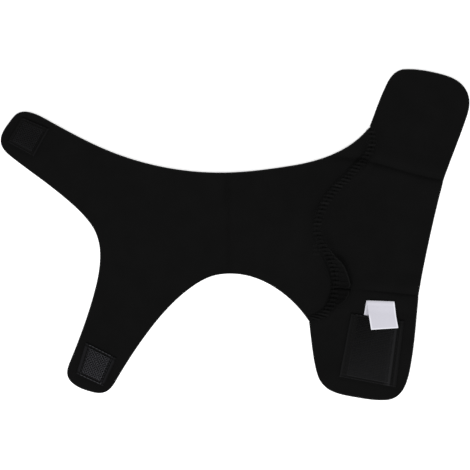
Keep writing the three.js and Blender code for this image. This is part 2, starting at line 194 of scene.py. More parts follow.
def closed_sheet(top, bottom, grids, loop, stand_out):
    """Two faces over the same grids, joined round their loop by a rim. The rows of the rim are evenly
    spaced between the faces, and stand_out says how far each stands out from the straight line between
    them. Also gives the part that each face belongs to: 0 top, 1 bottom, 2 rim."""
    count = len(top)
    share = np.linspace(0, 1, len(stand_out) + 2)[1:-1, None, None]
    rows = top[loop] * (1 - share) + bottom[loop] * share
    rows[..., :2] += stand_out[..., None] * outward(top[loop, :2])
    rim = 2 * count + np.arange(rows[..., 0].size).reshape(rows.shape[:2])
    rim = np.concatenate([loop[None], rim, count + loop[None]])
    inside = np.concatenate([quads(grid) for grid in grids])
    outside = count + inside[:, ::-1]
    edge = quads(np.concatenate([rim, rim[:, :1]], 1))
    part = np.repeat([0, 1, 2], [len(inside), len(outside), len(edge)])
    return np.concatenate([top, bottom, rows.reshape(-1, 3)]), np.concatenate([inside, outside, edge]), part


def add_piece(name, points, faces, materials, part=None, uv=None, attributes=()):
    """Smooth mesh object from points in millimetres and four-cornered faces, with one material for each part
    number. uv is in millimetres, and attributes are numbers for each point that a material reads."""
    mesh = bpy.data.meshes.new(name)
    mesh.vertices.add(len(points))
    mesh.vertices.foreach_set("co", (np.asarray(points) * MM).ravel())
    mesh.loops.add(faces.size)
    mesh.loops.foreach_set("vertex_index", faces.ravel())
    mesh.polygons.add(len(faces))
    mesh.polygons.foreach_set("loop_start", np.arange(0, faces.size, 4))
    mesh.polygons.foreach_set("use_smooth", np.ones(len(faces), bool))
    for material in materials:
        mesh.materials.append(material)
    if part is not None:
        mesh.polygons.foreach_set("material_index", part)
    if uv is not None:
        mesh.uv_layers.new(name="weave").data.foreach_set("uv", (uv[faces.ravel()] * MM).ravel())
    for key, values in dict(attributes).items():
        mesh.attributes.new(key, "FLOAT", "POINT").data.foreach_set("value", values)
    mesh.update(calc_edges=True)
    piece = bpy.data.objects.new(name, mesh)
    bpy.context.collection.objects.link(piece)
    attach(piece, "root")
    return piece


def ease(value, low, high):
    """Eased step from 0 at the lower limit to 1 at the upper one."""
    share = np.clip((value - low) / (high - low), 0, 1)
    return share ** 2 * (3 - 2 * share)


def bell(distance, half):
    """Bell of unit height, which falls to 1/e at the distance half."""
    return np.exp(-(distance / half) ** 2)


def valley(distance, swell, spread):
    """Valley between two swells: with the distance as a share of the spread, the share times the square of
    what is left, times 27/4, so that the swell is whole at a third of the spread. Nothing is left past the
    spread."""
    share = np.minimum(np.abs(distance) / spread, 1)
    return swell * 27 / 4 * share * (1 - share) ** 2


# The heel dome: its crown, its half widths and its rise
HEEL_CROWN, HEEL_HALF, HEEL_RISE = (66, 6), (46, 52), 6

# Creases where the ankle flaps were folded in for packing. Each line is a cubic in the share of the way
# from the middle of the flaps, fading in between two x, with the depth and half width of the nip in the
# inside face.
CREASES = [
    {"line": (-41.2, -4.3, 0, 0), "fade": (80, 108), "nip": 0.45, "half": 1.2},
    {"line": (49.5, -11.4, -1.5, 3.1), "fade": (62, 80), "nip": 0.75, "half": 2.2},
]
CREASE_MIDDLE, CREASE_HALF = 110, 40
CREASE_SWELL, CREASE_SPREAD = 1.2, 16

# Fold across the arch band, nearly upright: x at the height ARCH_FOLD_Y, its lean, its swells, and its nip
ARCH_FOLD_X, ARCH_FOLD_Y, ARCH_FOLD_LEAN = -4.4, 10, -0.03
ARCH_SWELL, ARCH_SPREAD = 0.6, 14
ARCH_NIP, ARCH_NIP_HALF = 0.5, 1.1

# Slow waves of loose cloth: their rise, the millimetres to a radian both ways, and a sway of their crests
WAVE_RISE, WAVE_X, WAVE_Y, WAVE_START = 0.16, 19, 23, 1.1
WAVE_SWAY, WAVE_SWAY_Y = 0.7, 31


def crease_offsets(x, y):
    """For each crease, how far above its line a point lies, and how much of the crease shows there."""
    share = np.clip((x - CREASE_MIDDLE) / CREASE_HALF, -1, 1)
    lines = [np.polynomial.polynomial.polyval(share, crease["line"]) for crease in CREASES]
    return [(y - line, ease(x, *crease["fade"])) for line, crease in zip(lines, CREASES)]


def arch_offset(x, y):
    """How far right of the fold across the arch a point lies."""
    return x - ARCH_FOLD_X - ARCH_FOLD_LEAN * (y - ARCH_FOLD_Y)


def lie(x, y):
    """Height of the outside face over the table: the heel dome, a valley at each crease, a shallow one
    across the arch, and slow waves that never go below the table."""
    (crown_x, crown_y), (half_x, half_y) = HEEL_CROWN, HEEL_HALF
    from_crown = np.minimum(((x - crown_x) / half_x) ** 2 + ((y - crown_y) / half_y) ** 2, 1)
    height = HEEL_RISE * (1 - from_crown) ** 2
    for offset, shown in crease_offsets(x, y):
        height = height + shown * valley(offset, CREASE_SWELL, CREASE_SPREAD)
    height = height + valley(arch_offset(x, y), ARCH_SWELL, ARCH_SPREAD)
    sway = WAVE_SWAY * np.sin(y / WAVE_SWAY_Y)
    return height + WAVE_RISE * (1 + np.sin(x / WAVE_X + sway) * np.sin(y / WAVE_Y + WAVE_START))


SEAM = cut_line(HEEL_SEAM, SEAM_STEPS)
SEAM_RUN = run_of(SEAM)
SEAM_WAY = np.gradient(SEAM, SEAM_RUN, axis=0)
SEAM_WAY /= np.linalg.norm(SEAM_WAY, axis=1)[:, None]
SEAM_LEFT = np.stack([-SEAM_WAY[:, 1], SEAM_WAY[:, 0]], 1)
SEAM_SLANT = BAR_LEVEL * SEAM_WAY[:, 0] / (1 - BAR_LEVEL + BAR_LEVEL * SEAM_LEFT[:, 0])


def near_seam(x, y):
    """Nearest place on the heel seam: its number, the length walked to it, and the distance to it."""
    place = np.stack([x, y], -1)
    number = np.argmin(((place[:, None] - SEAM[None]) ** 2).sum(-1), axis=1)
    away = place - SEAM[number]
    step = np.clip((away * SEAM_WAY[number]).sum(-1), -SEAM_HALF_STEP, SEAM_HALF_STEP)
    distance = np.linalg.norm(away - step[:, None] * SEAM_WAY[number], axis=1)
    return number, SEAM_RUN[number] + step, distance


def allowance(x, y, side):
    """Height of the seam allowance above the inside face. The bank is a long eased slope, and where the slack
    puckers it is level up to a rolled crest and then falls away. It is sunk between the needle threads, which
    cross it aslant, and between the gathers of the pucker, by an uneven depth from one thread to the next."""
    number, run, distance = near_seam(x, y)
    level = SEAM[number, 1]
    reach, rise, bank_end, ledge, dip, gather = (np.interp(level, ALLOWANCE_Y, row) for row in (
        PUCKER_REACH, ALLOWANCE_RISE, FOOT_BANK, FOOT_LEDGE, STITCH_DIP, GATHER))
    puckered = ease(reach, *PUCKER_SHOWS) if side > 0 else 0 * reach
    slope = 1 - (ease(distance, ANKLE_LEDGE, ANKLE_BANK) if side > 0 else ease(distance, ledge, bank_end))
    fall = 1 - ease(distance, reach - FALL_INSIDE * PUCKER_FALL, reach + (1 - FALL_INSIDE) * PUCKER_FALL)
    crest = PUCKER_ROLL * puckered * rise / FULL_RISE * bell(distance - reach + PUCKER_CREST, CREST_HALF)
    bank = (1 - puckered) * slope + puckered * fall
    stitched = 1 - ease(distance, LIP, LIP + LIP_EASE)
    gathered = gather * puckered * (1 - ease(distance, reach - GATHER_FADES, reach - GATHER_ENDS))
    crossed = (run - side * distance * SEAM_SLANT[number]) / STITCH_PITCH
    uneven = DIP_MEAN + DIP_SPREAD * np.sin(DIP_TURN * np.floor(crossed))
    sunk = dip * uneven * np.sin(np.pi * crossed) ** 2 * np.maximum(stitched, gathered)
    return rise * bank + crest - sunk


def seam_painted_shade(x, y, side):
    """Painted shade on the cloth beside the seam, where its banks and the pucker lie in shade: by height
    along the seam, out to the crest of the pucker or to the end of the foot panel's bank."""
    number, _, distance = near_seam(x, y)
    level = SEAM[number, 1]
    reach, bank_end = (np.interp(level, ALLOWANCE_Y, row) for row in (PUCKER_REACH, FOOT_BANK))
    darkness = np.interp(level, ALLOWANCE_Y, ANKLE_PAINTED_SHADE if side > 0 else FOOT_PAINTED_SHADE)
    limit = np.maximum(reach - PUCKER_CREST, SHADE_LEAST) if side > 0 else bank_end - SHADE_SHORT
    return darkness * (1 - ease(distance, limit - SHADE_EASE, limit + SHADE_EASE))


# Corners of the three hook tapes, anticlockwise from the lower right. The sewing presses the laminate in
# along a line a little outside them.
TAPE_CORNERS = [
    [(-144.8, 56.4), (-133.9, 76.1), (-153.2, 84.2), (-163.6, 66.8)],
    [(-94.6, -109), (-85.3, -89), (-107.4, -77.6), (-114.1, -99.9)],
    [(115.9, -109.9), (121.8, -62.2), (83.5, -56.7), (75, -102.1)],
]
TAPE_PRESS, PRESS_OUT, PRESS_HALF = 0.15, 1.1, 0.8


def outside_tape(x, y, corners):
    """How far a point is outside a tape's four sides, negative inside it."""
    corner = np.array(corners)
    way = np.roll(corner, -1, axis=0) - corner
    out = np.stack([way[:, 1], -way[:, 0]], 1) / np.linalg.norm(way, axis=1)[:, None]
    return ((np.stack([x, y], -1)[:, None] - corner) * out).sum(-1).max(1)


def inside_face(x, y, side):
    """Height of the inside face of a panel, which is on the given side of the seam: -1 foot, 1 ankle."""
    height = lie(x, y) + LAMINATE + allowance(x, y, side)
    for crease, (offset, shown) in zip(CREASES, crease_offsets(x, y)):
        height = height - shown * crease["nip"] * bell(offset, crease["half"])
    height = height - ARCH_NIP * bell(arch_offset(x, y), ARCH_NIP_HALF)
    for corners in TAPE_CORNERS:
        height = height - TAPE_PRESS * bell(outside_tape(x, y, corners) - PRESS_OUT, PRESS_HALF)
    return height


# The raw edges part at the seam, and the rounding of the cut edge begins a little way from it
SEAM_SPLIT, SPLIT_HALF = 0.25, 0.6
TUCK_FROM, TUCK_FULL = 0.5, 3


def laminate_faces(plan, side, loop):
    """Inside and outside faces over a plan. The raw edges part a little at the seam, and both faces are
    rounded in along the cut edge, by a tuck, which is given too."""
    x, y = plan.T
    split = SEAM_SPLIT * bell(near_seam(x, y)[2], SPLIT_HALF)
    top = np.column_stack([plan, inside_face(x, y, side) - split])
    bottom = np.column_stack([plan, lie(x, y)])
    tuck = EDGE_ROUND * ease(near_seam(x[loop], y[loop])[2], TUCK_FROM, TUCK_FULL)
    inward = -tuck[:, None] * outward(plan[loop])
    top[loop, :2] += inward
    bottom[loop, :2] += inward
    return top, bottom, tuck


def linear(code):
    """Colour for a socket from an sRGB hex code."""
    value = np.array([int(code[i:i + 2], 16) for i in (1, 3, 5)]) / 255
    value = np.where(value <= 0.04045, value / 12.92, ((value + 0.055) / 1.055) ** 2.4)
    return (*value.tolist(), 1)


def add_node(material, kind, inputs=(), **settings):
    """One node of a material. inputs gives each socket a value, or the output socket of another node."""
    node = material.node_tree.nodes.new(kind)
    for name, value in settings.items():
        setattr(node, name, value)
    for socket, value in dict(inputs).items():
        if isinstance(value, bpy.types.NodeSocket):
            material.node_tree.links.new(value, node.inputs[socket])
        else:
            node.inputs[socket].default_value = value
    return node


def new_material(name):
    """Empty node material."""
    material = bpy.data.materials.new(name)
    material.use_nodes = True
    material.node_tree.nodes.clear()
    return material


def finish_surface(material, tone, look, height=None, strength=1.0, depth=1.0):
    """Last nodes of a material: its surface in a tone, with the values of look for other sockets, and with
    the relief of a height where one is given, by its strength and its depth in millimetres."""
    sockets = {"Base Color": tone.outputs["Result"], **look}
    if height is not None:
        relief = add_node(material, "ShaderNodeBump", {
            "Height": height, "Strength": strength, "Distance": depth * MM})
        sockets["Normal"] = relief.outputs["Normal"]
    surface = add_node(material, "ShaderNodeBsdfPrincipled", sockets)
    add_node(material, "ShaderNodeOutputMaterial", {"Surface": surface.outputs["BSDF"]})


def bands(spacing):
    """Wave texture scale for bands a spacing in millimetres apart: the texture has 20 radians to a unit."""
    return 2 * np.pi / 20 / (spacing * MM)


# Nylon jersey: fine knit wales across the brace, matt and near black, with soft cloudy wear, and painted
# shade, blacker, beside the seam where its banks and the pucker lie in shade
WALE, COURSE, CLOUD = 0.8, 0.6, 14
jersey = new_material("nylon_jersey")
where = add_node(jersey, "ShaderNodeTexCoord").outputs["Object"]
wales = add_node(jersey, "ShaderNodeTexWave", {"Vector": where, "Scale": bands(WALE)}, bands_direction="X")
courses = add_node(jersey, "ShaderNodeTexWave", {"Vector": where, "Scale": bands(COURSE)},
                   bands_direction="Y")
knit = add_node(jersey, "ShaderNodeMath", {0: wales.outputs["Fac"], 1: courses.outputs["Fac"]},
                operation="MULTIPLY")
cloud = add_node(jersey, "ShaderNodeTexNoise", {"Vector": where, "Scale": 1 / (CLOUD * MM), "Detail": 3})
plain = add_node(jersey, "ShaderNodeMix", {
    "Factor": cloud.outputs["Fac"], "A": linear("#080808"), "B": linear("#0c0c0c")}, data_type="RGBA")
# Painted shade: the jersey is painted blacker beside the seam, where its banks and the pucker lie in shade
painted_shade = add_node(jersey, "ShaderNodeAttribute", attribute_name="painted_shade")
tone = add_node(jersey, "ShaderNodeMix", {
    "Factor": painted_shade.outputs["Fac"], "A": plain.outputs["Result"], "B": linear("#040404")}, data_type="RGBA")
finish_surface(jersey, tone, {"Roughness": 0.9, "Specular IOR Level": 0.04},
               knit.outputs[0], strength=0.5, depth=0.08)

# Brushed loop pile: short raised loops, a soft matt nap with a grey bloom at grazing angles
NAP = 1.1
pile = new_material("brushed_loop_pile")
where = add_node(pile, "ShaderNodeTexCoord").outputs["Object"]
nap = add_node(pile, "ShaderNodeTexNoise", {
    "Vector": where, "Scale": 1 / (NAP * MM), "Detail": 4, "Roughness": 0.65})
tone = add_node(pile, "ShaderNodeMix", {
    "Factor": nap.outputs["Fac"], "A": linear("#0a0a0b"), "B": linear("#161617")}, data_type="RGBA")
finish_surface(pile, tone, {
    "Roughness": 1, "Specular IOR Level": 0.05, "Sheen Weight": 0.03, "Sheen Roughness": 0.6},
    nap.outputs["Fac"], strength=0.8, depth=0.4)

# Cut neoprene foam: matt charcoal with fine open cells where the knife went through
CELL = 0.5
foam = new_material("cut_neoprene_foam")
where = add_node(foam, "ShaderNodeTexCoord").outputs["Object"]
cells = add_node(foam, "ShaderNodeTexVoronoi", {"Vector": where, "Scale": 1 / (CELL * MM)})
tone = add_node(foam, "ShaderNodeMix", {
    "Factor": cells.outputs["Distance"], "A": linear("#0e0e0e"), "B": linear("#1c1c1c")}, data_type="RGBA")
finish_surface(foam, tone, {"Roughness": 0.95, "Specular IOR Level": 0.1},
               cells.outputs["Distance"], strength=0.6, depth=0.15)

# How far the rows of the cut edge stand out, as shares of its bulge, from the inside face to the outside
RIM = np.array([0.75, 1, 1, 1, 0.75])


def add_panel(node, plan, grids, loop, side):
    """Laminate panel over a plan, on its side of the seam. Its edge bulges, but hardly where it is sewn."""
    top, bottom, tuck = laminate_faces(plan, side, loop)
    stand_out = RIM[:, None] * (tuck + np.where(tuck > 0, FOAM_BULGE, SEAM_BULGE))
    points, faces, part = closed_sheet(top, bottom, grids, loop, stand_out)
    # Painted shade beside the seam, for the jersey to read
    seam_shade = np.pad(seam_painted_shade(*plan.T, side), (0, len(points) - len(plan)))
    panel = add_piece(node + "_laminate", points, faces, [jersey, pile, foam], part,
                      attributes={"painted_shade": seam_shade})
    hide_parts(node)


# Foot panel: two grids from the heel seam along the arch band and out to the end of each strap
ROWS_AT_SEAM, ROWS_ON_ARCH, ROWS_ON_STRAP = 26, 110, 110
ACROSS_UPPER, ACROSS_LOWER = 66, 60
SEAM_BAND = 0.055
foot_seam = SEAM - SEAM_GAP / 2 * SEAM_LEFT
heel = np.argmin(np.abs(SEAM[:, 1] - HEEL_Y))
arch_shares = np.concatenate([np.linspace(0, SEAM_BAND, ROWS_AT_SEAM, endpoint=False),
                              np.linspace(SEAM_BAND, 1, ROWS_ON_ARCH)])
strap_shares = np.linspace(0, 1, ROWS_ON_STRAP + 1)[1:]
middle = cut_line(ARCH_MIDDLE)
middle[0] = foot_seam[heel]
fork = len(arch_shares) - 1
foot_grids = []
for arch_edge, fork_edge, strap_edge, strap_end, seam_half, across in [
    (cut_line(INSTEP_EDGE), cut_line(UPPER_FORK)[::-1], cut_line(UPPER_STRAP_EDGE),
     cut_line(UPPER_STRAP_END)[::-1], foot_seam[heel::-1], ACROSS_UPPER),
    (cut_line(BAY_EDGE)[::-1], cut_line(LOWER_FORK), cut_line(LOWER_STRAP_EDGE)[::-1],
     cut_line(LOWER_STRAP_END), foot_seam[heel:], ACROSS_LOWER),
]:
    inner = np.concatenate([along(middle, arch_shares), along(fork_edge, strap_shares)])
    outer = np.concatenate([along(arch_edge, arch_shares), along(strap_edge, strap_shares)])
    u = run_of((inner + outer) / 2)
    v = np.linspace(0, 1, across + 1)
    first, last = along(seam_half, v), along(strap_end, v)
    outer[0] = first[-1]
    foot_grids.append(cloth_grid(inner, outer, first, last, u / u[-1], v))
plan, (upper, lower) = weld(foot_grids)
loop = np.concatenate([upper[:-1, -1], upper[-1, :0:-1], upper[:fork:-1, 0], lower[fork:-1, 0],
                       lower[-1, :-1], lower[:0:-1, -1], lower[0, :0:-1], upper[0, :-1]])
add_panel("foot_panel", plan, [upper[:, ::-1], lower], loop, -1)

# Ankle panel: one grid from the lower flap to the upper one, with close rows along the two creases.
# Rows as (y on the seam side, y on the back edge, rows up to the next line)
ANKLE_ROWS = [(-107.5, -115.6, 60), (-62.5, -72, 40), (-41, -47.5, 22), (-33, -39.5, 120), (48, 36.5, 18),
              (56, 44.5, 34), (77.2, 71, 30), (117.3, 104, 0)]
COLUMNS_AT_SEAM, COLUMNS_TO_BACK = 50, 60
PUCKER_BAND = 0.28
ankle_seam = SEAM + SEAM_GAP / 2 * SEAM_LEFT
left_edge = np.concatenate([cut_line(LOWER_FLAP_EDGE)[:0:-1], ankle_seam[::-1],
                            cut_line(UPPER_FLAP_EDGE)[-2::-1]])
row_y = np.array(ANKLE_ROWS, float)
row_place = [np.arange(count) / count + i for i, count in enumerate(row_y[:-1, 2])]
row_place = np.concatenate(row_place + [[len(row_y) - 1]])
left_y, right_y = (np.interp(row_place, np.arange(len(row_y)), row_y[:, k]) for k in (0, 1))
inner, outer = at_heights(left_edge, left_y), at_heights(cut_line(BACK_EDGE), right_y)
v = np.concatenate([np.linspace(0, PUCKER_BAND, COLUMNS_AT_SEAM, endpoint=False),
                    np.linspace(PUCKER_BAND, 1, COLUMNS_TO_BACK + 1)])
u = (left_y - left_y[0]) / (left_y[-1] - left_y[0])
first, last = along(cut_line(LOWER_FLAP_END), v), along(cut_line(UPPER_FLAP_END)[::-1], v)
plan, (wrap,) = weld([cloth_grid(inner, outer, first, last, u, v)])
add_panel("ankle_panel", plan, [wrap[:, ::-1]], border(wrap), 1)

# Heel seam
# The two panels are overlocked edge to edge with black polyester thread: needle threads cross the raw edges
# like the bars of a ladder, and a looper thread chains along each side of them.
BAR_STRANDS, STRAND_STEP, STRAND_RADIUS = 3, 0.5, 0.3
BAR_STEPS, BAR_LIFT, THREAD_SIDES = 19, 0.12, 6
LOOPER_RADIUS, LOOPER_LIFT, LOOPER_SWAY = 0.18, 0.02, 0.3
LOOPER_INSET, STEPS_TO_BAR = 1, 8

# Bars reach past the lip by an uneven overhang, which turns from bar to bar at their foot and ankle ends
BAR_OVERHANG, BAR_UNEVEN, BAR_TURNS = 0.4, 1.5, (3.7, 5.3)

# Threads across the pucker, where it reaches out far enough: from past the lip to short of the reach
STRIP_LEAST, STRIP_FROM, STRIP_SHORT = 5, 1, 0.6
STRIP_STEPS, STRIP_LIFT, STRIP_SIDES = 9, 0.08, 4


def tubes(paths, radius, sides, up=(0, 0, 1), flat=1.0):
    """Threads or wires: a ring of points carried along each path, squashed to flat towards up, with closed
    ends. paths is (threads, steps, xyz) and radius one value for each step."""
    way = np.gradient(paths, axis=1)
    way /= np.linalg.norm(way, axis=2)[..., None]
    side = np.cross(way, np.broadcast_to(up, way.shape))
    side /= np.linalg.norm(side, axis=2)[..., None]
    over = np.cross(side, way)
    angle = 2 * np.pi * (np.arange(sides) + 0.5) / sides
    reach = np.broadcast_to(radius, paths.shape[:2])[..., None, None]
    across, above = np.cos(angle)[:, None] * side[:, :, None], np.sin(angle)[:, None] * over[:, :, None]
    points = paths[:, :, None] + reach * (across + flat * above)
    numbers = np.arange(points[..., 0].size).reshape(points.shape[:3])
    ring = np.concatenate([numbers, numbers[:, :, :1]], 2)
    walls = [quads(thread) for thread in ring]
    corner = np.arange(1, sides - 1, 2)
    fan = np.stack([0 * corner, corner, corner + 1, corner + 2], 1)
    caps = [numbers[:, 0][:, fan].reshape(-1, 4), numbers[:, -1][:, fan[:, ::-1]].reshape(-1, 4)]
    return points.reshape(-1, 3), np.concatenate(walls + caps)


def join(meshes):
    """Several (points, faces) as one."""
    starts = np.cumsum([0] + [len(points) for points, faces in meshes])
    return (np.concatenate([points for points, faces in meshes]),
            np.concatenate([faces + start for start, (points, faces) in zip(starts, meshes)]))


def on_seam(run, across, slant=0.0):
    """Points beside the seam: run is the length along it, across the distance towards the ankle panel. With
    slant the way across turns from square towards level, as the needle threads do on the slopes."""
    at, square = at_runs(run, SEAM_RUN, SEAM), at_runs(run, SEAM_RUN, SEAM_LEFT)
    way = (1 - slant) * square + slant * np.array([1.0, 0.0])
    way /= (way * square).sum(-1)[..., None]
    return at + across[..., None] * way


def over_seam(place, lift):
    """Points laid over the stitched edges: the height of the panel that each is above, plus lift."""
    x, y = place.reshape(-1, 2).T
    number = near_seam(x, y)[0]
    ankle_side = ((place.reshape(-1, 2) - SEAM[number]) * SEAM_LEFT[number]).sum(-1) > 0
    height = np.where(ankle_side, inside_face(x, y, 1), inside_face(x, y, -1)) + lift
    return np.concatenate([place, height.reshape(place.shape[:-1] + (1,))], -1)


def reach_at(run):
    """How far the pucker reaches beside the seam, at a length along it."""
    return np.interp(on_seam(run, 0 * run)[:, 1], ALLOWANCE_Y, PUCKER_REACH)


def chain_sway(run, sway):
    """Swing of a looper thread from side to side, once for each needle thread that it is caught by."""
    return sway * np.sin(2 * np.pi * run / STITCH_PITCH)


# Spun polyester thread: black, with the twist of its plies, and greyer on the upper half of the seam and
# along the crest of the pucker
PLY = 0.45
thread = new_material("spun_polyester_thread")
where = add_node(thread, "ShaderNodeTexCoord").outputs["Object"]
twist = add_node(thread, "ShaderNodeTexWave", {"Vector": where, "Scale": bands(PLY), "Distortion": 1.5},
                 bands_direction="DIAGONAL")
black = add_node(thread, "ShaderNodeMix", {
    "Factor": twist.outputs["Fac"], "A": linear("#040404"), "B": linear("#0a0a0a")}, data_type="RGBA")
brighten = add_node(thread, "ShaderNodeAttribute", attribute_name="brightening")
tone = add_node(thread, "ShaderNodeMix", {
    "Factor": brighten.outputs["Fac"], "A": black.outputs["Result"], "B": linear("#181818")}, data_type="RGBA")
finish_surface(thread, tone, {"Roughness": 0.75, "Specular IOR Level": 0.05},
               twist.outputs["Fac"], strength=0.6, depth=0.1)

bar_run = np.arange(1, int(SEAM_RUN[-1] / STITCH_PITCH)) * STITCH_PITCH
strand_offsets = STRAND_STEP * (np.arange(BAR_STRANDS) - (BAR_STRANDS - 1) / 2)
strand_run = (bar_run[:, None] + strand_offsets).ravel()
bar_number = np.repeat(np.arange(len(bar_run)), BAR_STRANDS)
bar_wave = np.sin(np.outer(bar_number, BAR_TURNS) + strand_run[:, None])
bar_end = LIP + BAR_OVERHANG * (1 + BAR_UNEVEN * bar_wave)
bar_across = -bar_end[:, :1] + bar_end.sum(1)[:, None] * np.linspace(0, 1, BAR_STEPS)
bar_place = on_seam(strand_run[:, None], bar_across, BAR_LEVEL)
ladder = tubes(over_seam(bar_place, BAR_LIFT), STRAND_RADIUS, THREAD_SIDES)

chain_run = np.linspace(LOOPER_INSET, SEAM_RUN[-1] - LOOPER_INSET, len(bar_run) * STEPS_TO_BAR)
chain_place = [on_seam(chain_run, side * (LIP + BAR_OVERHANG) + chain_sway(chain_run, LOOPER_SWAY))
               for side in (-1, 1)]
loopers = tubes(over_seam(np.stack(chain_place), LOOPER_LIFT), LOOPER_RADIUS, THREAD_SIDES)

strip_run = bar_run[reach_at(bar_run) > STRIP_LEAST]
strip_start, strip_end = LIP + STRIP_FROM, reach_at(strip_run)[:, None] - STRIP_SHORT
strip_across = strip_start + (strip_end - strip_start) * np.linspace(0, 1, STRIP_STEPS)
strip_place = on_seam(strip_run[:, None], strip_across, BAR_LEVEL)
strip = tubes(over_seam(strip_place, STRIP_LIFT), LOOPER_RADIUS, STRIP_SIDES)

# How grey the ladder is, by height as in the seam allowance, and how that varies from bar to bar
SEAM_THREAD_GREYNESS = [0.25, 0.15, 0.03, 0.03, 0.03, 0.03, 0.05, 0.06, 0.08,
          0.13, 0.14, 0.12, 0.12, 0.2, 0.3, 0.0, 0.25, 0.3]
GREYNESS_SPREAD, GREYNESS_TURNS = 0.35, (2.6, 5.1)
sewn = join([ladder, loopers, strip])
bar_greyness = GREYNESS_SPREAD * np.sin(np.outer(bar_number, GREYNESS_TURNS)).sum(1)
greyness_unevenly = np.repeat(bar_greyness, BAR_STEPS * THREAD_SIDES)
greyness_unevenly = np.pad(greyness_unevenly, (0, len(sewn[0]) - len(ladder[0])))
threads = [sewn]
brightening = [np.interp(sewn[0][:, 1], ALLOWANCE_Y, SEAM_THREAD_GREYNESS) * (1 + greyness_unevenly)]

# The stitching starts with a short run of bars that lie flat on the foot panel below the turn of the heel
OVERRUN_Y, OVERRUN_PITCH, OVERRUN_BARS = -4.6, 3.1, 4
OVERRUN_X, OVERRUN_STEPS, OVERRUN_LIFT = (55.9, 61.3), 13, -0.08
OVERRUN_GREYNESS = 0.3
overrun_y = OVERRUN_Y - OVERRUN_PITCH * np.arange(OVERRUN_BARS)
overrun_y = (overrun_y[:, None] + strand_offsets).ravel()
overrun_x = np.linspace(*OVERRUN_X, OVERRUN_STEPS)
overrun_place = np.stack(np.meshgrid(overrun_x, overrun_y), -1)
overrun = tubes(over_seam(overrun_place, OVERRUN_LIFT), STRAND_RADIUS, THREAD_SIDES)
threads.append(overrun)
brightening.append(np.full(len(overrun[0]), OVERRUN_GREYNESS))

# A looper thread also chains along the crest of the pucker, which is the raw edge of its slack, above and
# below its notch: the height at which each length starts and ends, and how grey it is
CRESTS = [(-7, -37.2, 0.3), (-39.4, -46, 0.14)]
CREST_OUT, CREST_SWAY, CREST_LIFT = 0.1, 0.12, 0.1
CREST_RADIUS, CREST_FLAT, CREST_STEPS = 0.45, 0.6, 160
for start, end, greyness in CRESTS:
    crest_run = np.linspace(*np.interp([-start, -end], -SEAM[:, 1], SEAM_RUN), CREST_STEPS)
    crest_across = reach_at(crest_run) - PUCKER_CREST + CREST_OUT + chain_sway(crest_run, CREST_SWAY)
    crest_path = over_seam(on_seam(crest_run, crest_across), CREST_LIFT)
    crest = tubes(crest_path[None], CREST_RADIUS, THREAD_SIDES, flat=CREST_FLAT)
    threads.append(crest)
    brightening.append(np.full(len(crest[0]), greyness))
points, faces = join(threads)
overlock = add_piece("heel_seam_overlock", points, faces, [thread], attributes={"brightening": np.concatenate(brightening)})

# Hook tapes
# Woven nylon tape with cut hooks, black: a square on the end of each instep strap and a long piece on the
# lower flap. The ends are cut and the sides are selvedges, and each piece is sewn down all round.
TAPE_REST, TAPE_THICK, TAPE_RIM = 0.3, 0.8, 0.12
HOOK_HEIGHT, HOOK_CURL, HOOK_RADIUS = 1.0, 0.3, 0.2
HOOK_SINK, HOOK_SIDES = 0.05, 4
WEAVE = 0.7
STITCH, STITCH_GAP, STITCH_RADIUS, STITCH_STEPS = 2.6, 0.6, 0.26, 6
END_STITCH, END_GROOVE, END_PLAIN = 0.4, 1.5, 2.3

# Relief of the backing: cords, sewing, fine ribs under the hooks, gaps of the net, and thinning at the sides.
# Painted shade: the weave is painted darker in the sewn grooves, by the depth of the sewing times the last
# value below.
CORD_RISE, CORD_LEAST, SEWN_HALF, GROOVE_SHADE = 0.3, 0.3, 0.6, 2
FINE_RISE, GAP_DEPTH, THINNED, END_TAPER = 0.1, 0.3, 0.4, 0.7
FIELD_EASE, FIELD_END, GAP_EASE = 0.3, (END_PLAIN - 0.4, END_PLAIN + 0.2), 0.5
COLUMN_STEPS, BACKING_STEP = 4, 0.28

# Angles round the curl of a hook in degrees, after one for the foot of its wire
HOOK_BEND = (-90, 0, 40, 80, 120, 165, 205)

# Stitches rise by an arch out of the weave. They sink deeper along the sides, where painted shade darkens
# them.
STITCH_ARCH, END_SINK, SIDE_SINK, SIDE_SHADE_TONE = 0.35, 0.2, 0.4, 0.3

# Hooks are duller by DULL along the left of the field, fading over DULL_WIDTH, and by STREAK in streaks
DULL, DULL_WIDTH, STREAK = 0.25, 1.5, 0.2
